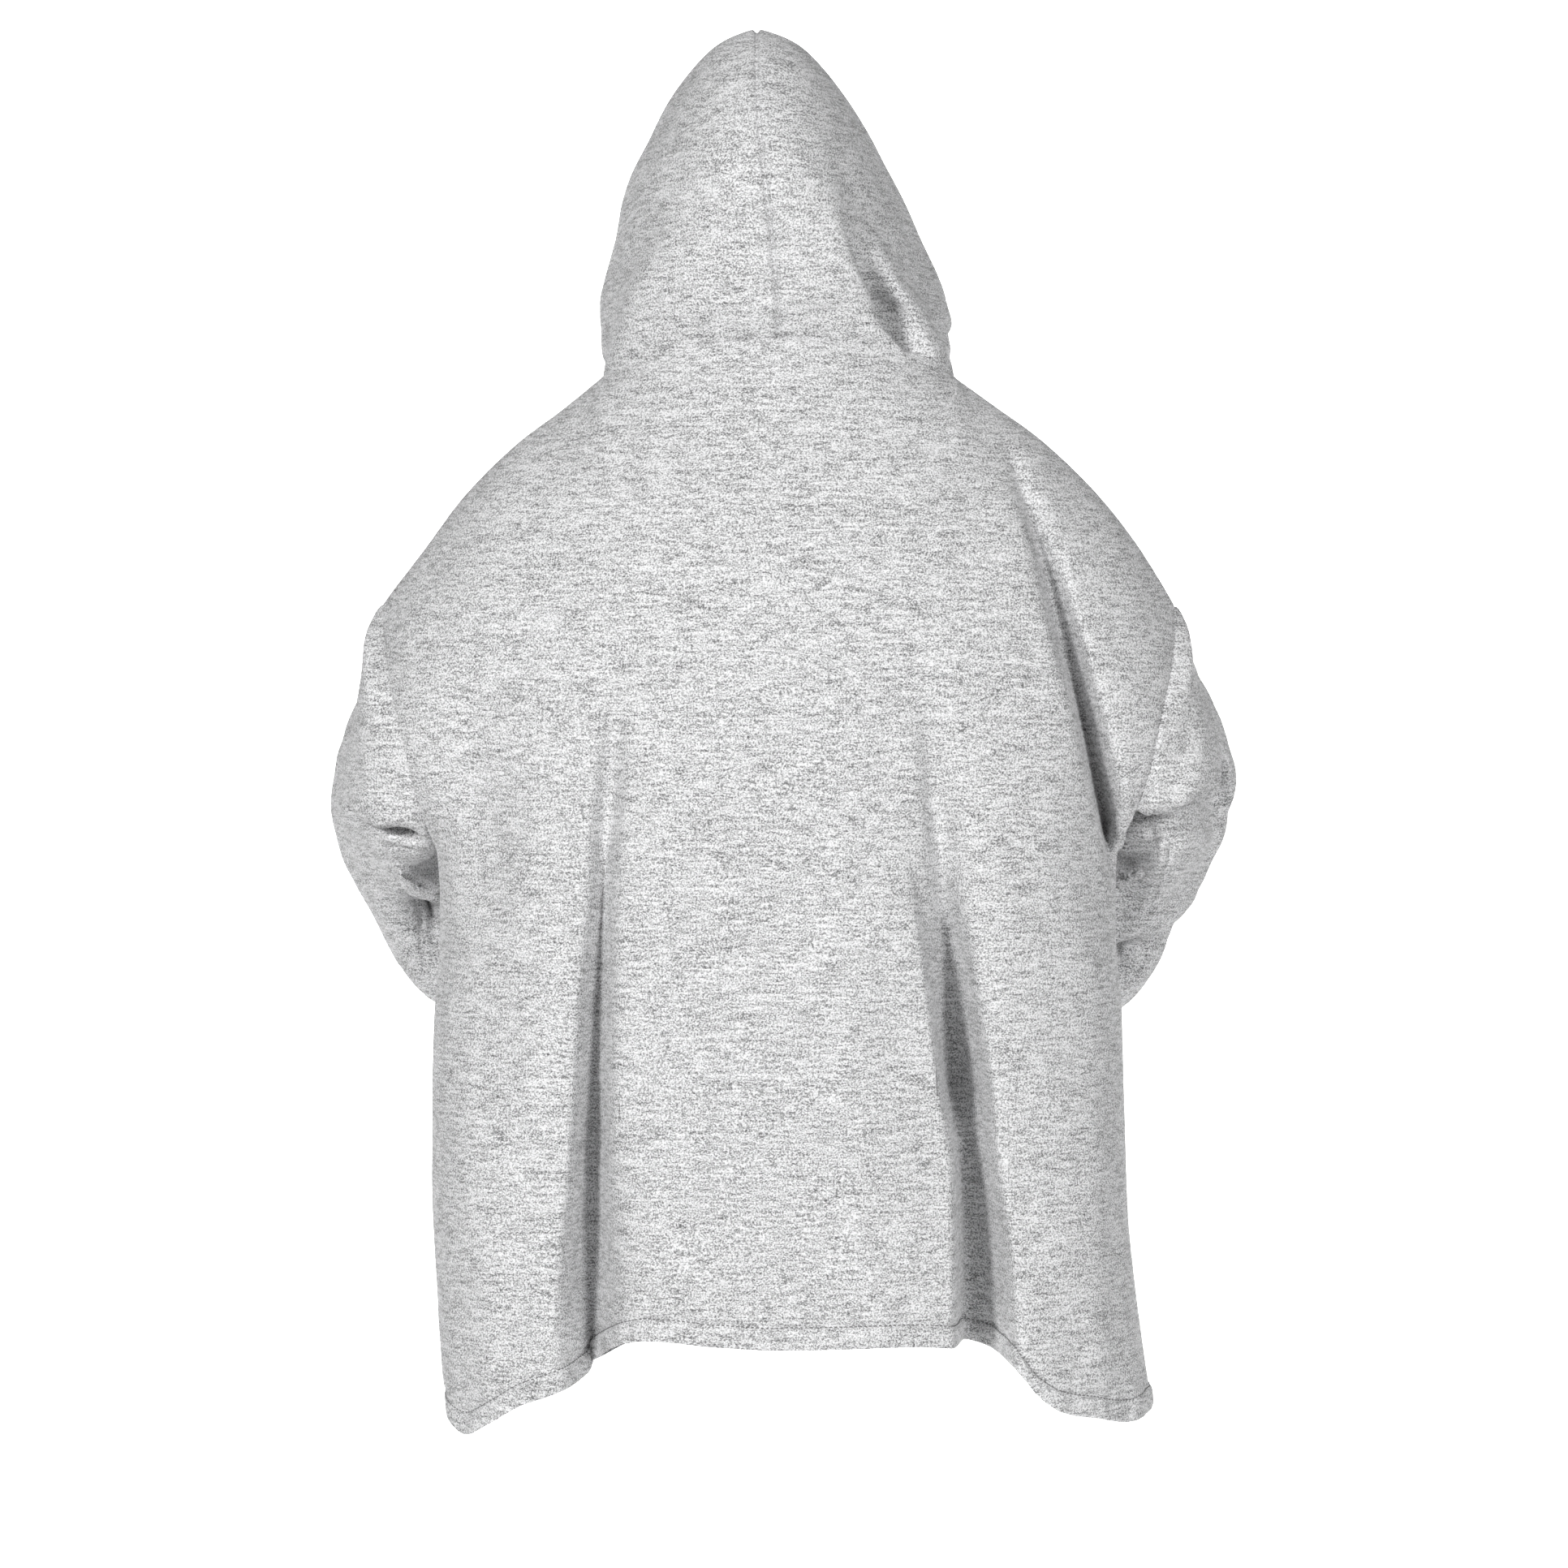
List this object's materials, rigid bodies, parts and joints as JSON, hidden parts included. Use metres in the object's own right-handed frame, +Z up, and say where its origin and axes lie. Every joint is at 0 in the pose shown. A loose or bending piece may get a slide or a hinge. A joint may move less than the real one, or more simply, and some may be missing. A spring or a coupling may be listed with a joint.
{
  "type": "wearable blanket hoodie",
  "caption": "Oversized pullover blanket hoodie in heather grey fleece, hood up, drop shoulders, both sleeves bent forward, hem hanging lower at the sides.",
  "frame": {"origin": "centre of the neck on the line of the shoulders, where the wearer holds the garment up", "axes": "+Z up towards the hood, +Y out of the garment's front, +X towards the wearer's right sleeve, which is on the right when the back is looked at"},
  "size_m": [0.745, 0.3976, 1.113],
  "materials": {
    "heather_fleece": "matte heather grey sweatshirt fleece, fine knit with light and dark flecks"
  },
  "bodies": {
    "root": {"back_panel": "heather_fleece", "front_panel": "heather_fleece", "sleeve_left": "heather_fleece", "sleeve_right": "heather_fleece", "hood_left": "heather_fleece", "hood_right": "heather_fleece"}
  },
  "joints": []
}
